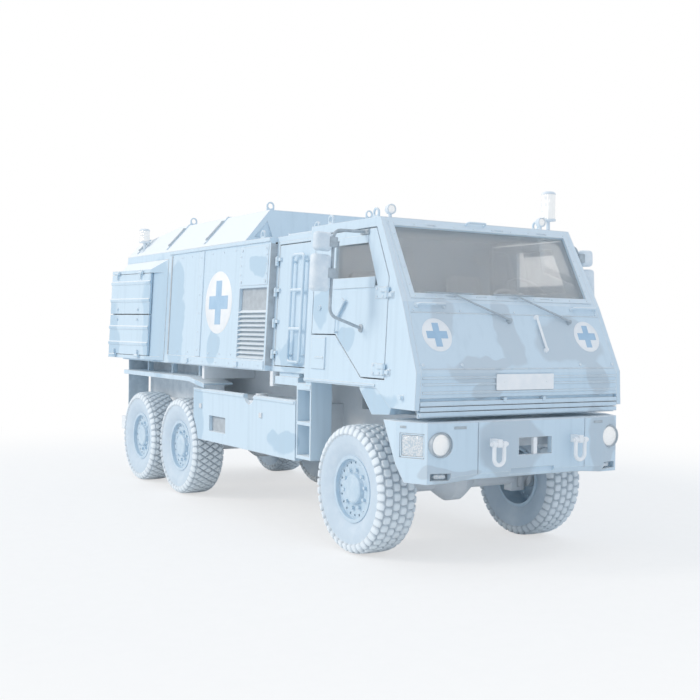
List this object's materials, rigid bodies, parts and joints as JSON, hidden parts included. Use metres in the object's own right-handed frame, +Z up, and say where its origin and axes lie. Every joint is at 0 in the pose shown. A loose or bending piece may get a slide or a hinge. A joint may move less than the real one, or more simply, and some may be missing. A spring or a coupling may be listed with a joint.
{
  "type": "military ambulance truck",
  "caption": "Forward-control protected ambulance truck with a leaning-sided cab, box body with raised roof, ribbed side lockers and block-tread wheels.",
  "frame": {"origin": "on the ground, at the middle of the plan", "axes": "+X to the vehicle's left, -Y to its front, +Z up"},
  "size_m": [3.0372, 6.7199, 3.1339],
  "materials": {
    "tyre": "moulded rubber, block tread",
    "flap_rubber": "plain sheet",
    "window_glass": "clear, tinted",
    "lamp_lens": "clear lens",
    "seat_cloth": "woven",
    "dash_plastic": "grained",
    "dark_plastic": "satin",
    "white_steel": "gloss enamel",
    "underbody_paint": "matt",
    "body_paint": "matt camouflage"
  },
  "bodies": {
    "vehicle": {"chassis_rails": "underbody_paint", "crossmembers": "underbody_paint", "driveline": "underbody_paint", "engine_block": "underbody_paint", "front_axle": "underbody_paint", "rear_axles": "underbody_paint", "fuel_tanks": "underbody_paint", "tank_covers": "body_paint", "cab_floor": "body_paint", "cab_sides": "body_paint", "cab_back": "body_paint", "cab_roof": "body_paint", "cab_nose": "body_paint", "windshield": "window_glass", "grille": "body_paint", "front_bumper": "body_paint", "front_lamps": "lamp_lens", "tow_shackles": "white_steel", "nose_fittings": "dark_plastic", "cab_seats": "seat_cloth", "dashboard": "dash_plastic", "cab_steps": "underbody_paint", "box_floor": "body_paint", "box_sides": "body_paint", "box_front": "body_paint", "box_roof": "body_paint", "lockers": "body_paint", "fenders": "body_paint", "mudflaps": "flap_rubber", "beacons": "lamp_lens", "roof_fittings": "body_paint", "rear_step": "underbody_paint"},
    "cab_door_assembly_left": {"cab_door_left": "body_paint", "door_glass_left": "window_glass", "mirror_left": "dark_plastic"},
    "cab_door_assembly_right": {"cab_door_right": "body_paint", "door_glass_right": "window_glass", "mirror_right": "dark_plastic"},
    "side_door_leaf_left": {"side_door_left": "body_paint"},
    "side_door_leaf_right": {"side_door_right": "body_paint"},
    "rear_door_leaf_left": {"rear_door_left": "body_paint"},
    "rear_door_leaf_right": {"rear_door_right": "body_paint"},
    "locker_upper_lid_left": {"upper_lid_left": "body_paint"},
    "locker_lower_lid_left": {"lower_lid_left": "body_paint"},
    "locker_upper_lid_right": {"upper_lid_right": "body_paint"},
    "locker_lower_lid_right": {"lower_lid_right": "body_paint"},
    "steering_knuckle_left": {"knuckle_left": "underbody_paint"},
    "steering_knuckle_right": {"knuckle_right": "underbody_paint"},
    "wheel_front_left": {"tyre_front_left": "tyre", "rim_front_left": "body_paint"},
    "wheel_front_right": {"tyre_front_right": "tyre", "rim_front_right": "body_paint"},
    "wheel_middle_left": {"tyre_middle_left": "tyre", "rim_middle_left": "body_paint"},
    "wheel_middle_right": {"tyre_middle_right": "tyre", "rim_middle_right": "body_paint"},
    "wheel_rear_left": {"tyre_rear_left": "tyre", "rim_rear_left": "body_paint"},
    "wheel_rear_right": {"tyre_rear_right": "tyre", "rim_rear_right": "body_paint"}
  },
  "joints": [
    {"name": "steer_left", "type": "hinge", "parent": "vehicle", "child": "steering_knuckle_left", "pos_m": [0.78, -2.19, 0.53], "axis": [0, 0, 1], "range_deg": [-30, 30]},
    {"name": "steer_right", "type": "hinge", "parent": "vehicle", "child": "steering_knuckle_right", "pos_m": [-0.78, -2.19, 0.53], "axis": [0, 0, 1], "range_deg": [-30, 30]},
    {"name": "wheel_front_left_spin", "type": "hinge", "parent": "steering_knuckle_left", "child": "wheel_front_left", "pos_m": [0.88, -2.19, 0.53], "axis": [1, 0, 0], "continuous": true},
    {"name": "wheel_front_right_spin", "type": "hinge", "parent": "steering_knuckle_right", "child": "wheel_front_right", "pos_m": [-0.88, -2.19, 0.53], "axis": [1, 0, 0], "continuous": true},
    {"name": "wheel_middle_left_spin", "type": "hinge", "parent": "vehicle", "child": "wheel_middle_left", "pos_m": [0.88, 1.41, 0.53], "axis": [1, 0, 0], "continuous": true},
    {"name": "wheel_middle_right_spin", "type": "hinge", "parent": "vehicle", "child": "wheel_middle_right", "pos_m": [-0.88, 1.41, 0.53], "axis": [1, 0, 0], "continuous": true},
    {"name": "wheel_rear_left_spin", "type": "hinge", "parent": "vehicle", "child": "wheel_rear_left", "pos_m": [0.88, 2.61, 0.53], "axis": [1, 0, 0], "continuous": true},
    {"name": "wheel_rear_right_spin", "type": "hinge", "parent": "vehicle", "child": "wheel_rear_right", "pos_m": [-0.88, 2.61, 0.53], "axis": [1, 0, 0], "continuous": true},
    {"name": "cab_door_left_hinge", "type": "hinge", "parent": "vehicle", "child": "cab_door_assembly_left", "pos_m": [1.06292, -2.723, 1.80057], "axis": [0.0454, 0, -0.999], "range_deg": [0, 75]},
    {"name": "cab_door_right_hinge", "type": "hinge", "parent": "vehicle", "child": "cab_door_assembly_right", "pos_m": [-1.06292, -2.723, 1.80057], "axis": [0.0454, 0, 0.999], "range_deg": [0, 75]},
    {"name": "side_door_left_hinge", "type": "hinge", "parent": "vehicle", "child": "side_door_leaf_left", "pos_m": [0.98392, -0.742, 1.99718], "axis": [-0.0454, 0, 0.999], "range_deg": [0, 90]},
    {"name": "side_door_right_hinge", "type": "hinge", "parent": "vehicle", "child": "side_door_leaf_right", "pos_m": [-0.98392, -0.742, 1.99718], "axis": [-0.0454, 0, -0.999], "range_deg": [0, 90]},
    {"name": "rear_door_left_hinge", "type": "hinge", "parent": "vehicle", "child": "rear_door_leaf_left", "pos_m": [0.98193, 3.182, 1.99709], "axis": [0.0454, 0, -0.999], "range_deg": [0, 100]},
    {"name": "rear_door_right_hinge", "type": "hinge", "parent": "vehicle", "child": "rear_door_leaf_right", "pos_m": [-0.98193, 3.182, 1.99709], "axis": [0.0454, 0, 0.999], "range_deg": [0, 100]},
    {"name": "upper_lid_left_hinge", "type": "hinge", "parent": "vehicle", "child": "locker_upper_lid_left", "pos_m": [1.16919, 2.63421, 2.48009], "axis": [-0.1141, -0.9935, -0.0052], "range_deg": [0, 100]},
    {"name": "lower_lid_left_hinge", "type": "hinge", "parent": "vehicle", "child": "locker_lower_lid_left", "pos_m": [1.21355, 2.63421, 1.50309], "axis": [0.1141, 0.9935, 0.0052], "range_deg": [0, 90]},
    {"name": "upper_lid_right_hinge", "type": "hinge", "parent": "vehicle", "child": "locker_upper_lid_right", "pos_m": [-1.16919, 2.63421, 2.48009], "axis": [-0.1141, 0.9935, 0.0052], "range_deg": [0, 100]},
    {"name": "lower_lid_right_hinge", "type": "hinge", "parent": "vehicle", "child": "locker_lower_lid_right", "pos_m": [-1.21355, 2.63421, 1.50309], "axis": [0.1141, -0.9935, -0.0052], "range_deg": [0, 90]}
  ],
  "couplings": [
    {"joint": "steer_left", "follows": "steer_right", "ratio": 1}
  ]
}
